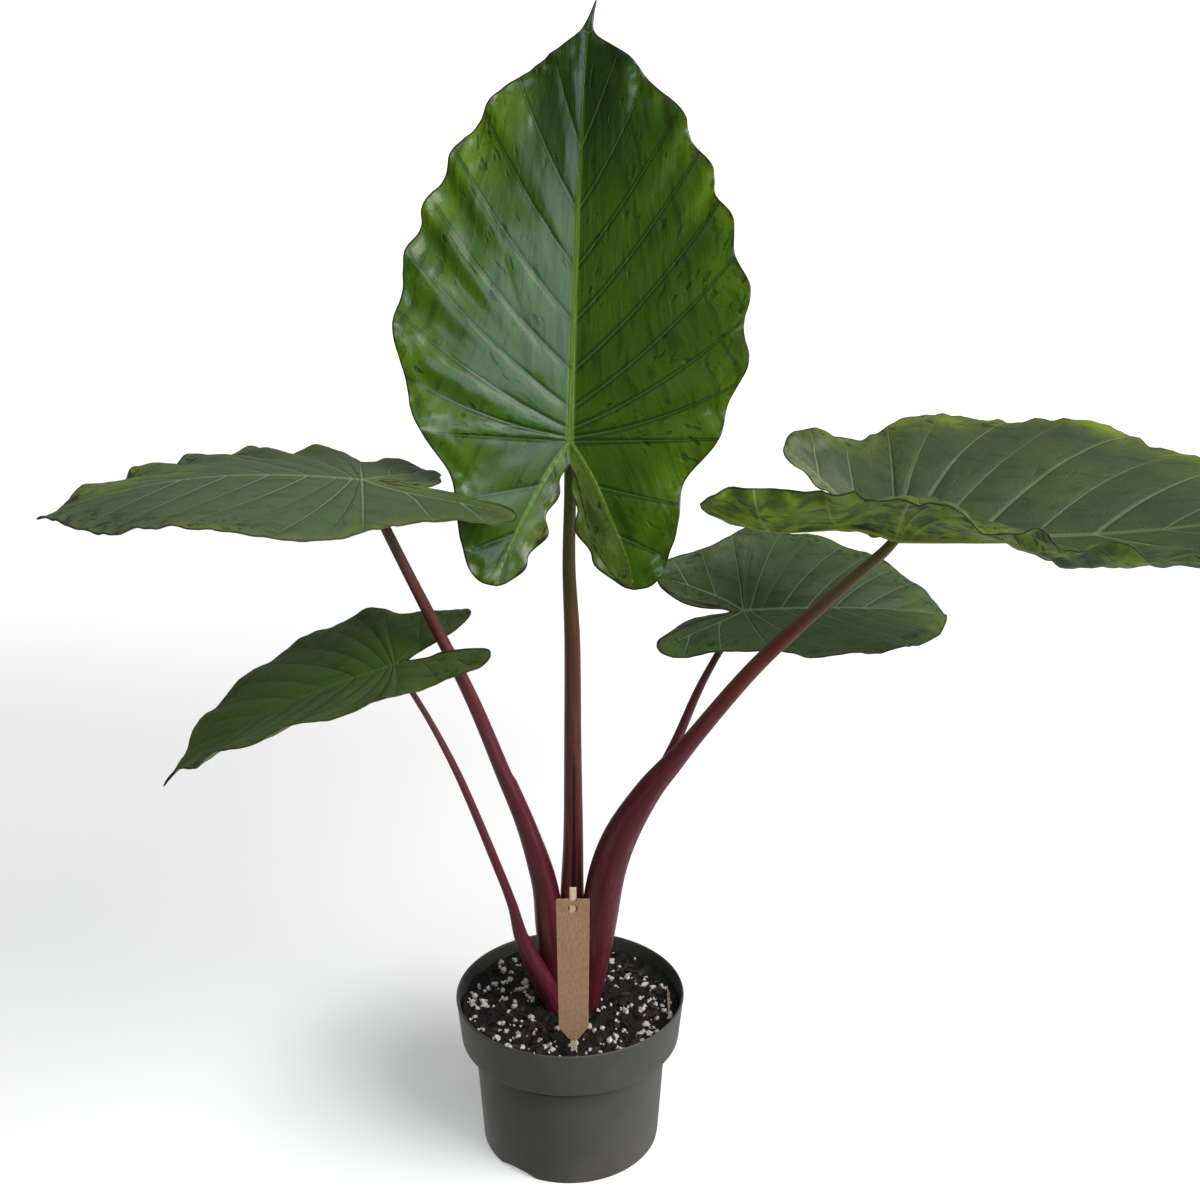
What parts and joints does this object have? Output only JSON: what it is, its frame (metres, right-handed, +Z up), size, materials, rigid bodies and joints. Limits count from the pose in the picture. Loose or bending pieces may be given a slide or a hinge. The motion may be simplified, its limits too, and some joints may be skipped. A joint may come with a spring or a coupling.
{
  "type": "potted alocasia house plant",
  "caption": "Arrow-leaved foliage house plant with burgundy stalks rising from soil in a round nursery pot, with a blank plant tag on a stick.",
  "frame": {"origin": "middle of the pot's foot, on the surface that it stands on", "axes": "+Z up, -Y towards the plant's front, where the tag stands, +X to the right seen from the front"},
  "size_m": [0.8443, 0.3099, 0.8126],
  "materials": {
    "crown_leaf": "living leaf, glossy and waxy, deep green with paler veins",
    "side_leaf": "living leaf, satin, grey-green above with paler veins and yellow-green below",
    "stalk": "living stalk, satin, burgundy turning olive brown towards the leaf",
    "pot_plastic": "matt dark grey moulded plastic",
    "soil": "loose damp potting mix of bark and peat with white perlite grains",
    "card": "bare brown kraft card",
    "stick_wood": "pale unfinished wood"
  },
  "bodies": {
    "root": {"pot": "pot_plastic", "soil": "soil", "stem": "stalk", "stalk_crown": "stalk", "stalk_right": "stalk", "stalk_left": "stalk", "stalk_right_lower": "stalk", "stalk_left_lower": "stalk", "leaf_crown": "crown_leaf", "leaf_left": "side_leaf", "leaf_left_lower": "side_leaf", "leaf_right": "side_leaf", "leaf_right_lower": "side_leaf", "plant_tag": "card", "tag_stick": "stick_wood"}
  },
  "joints": []
}
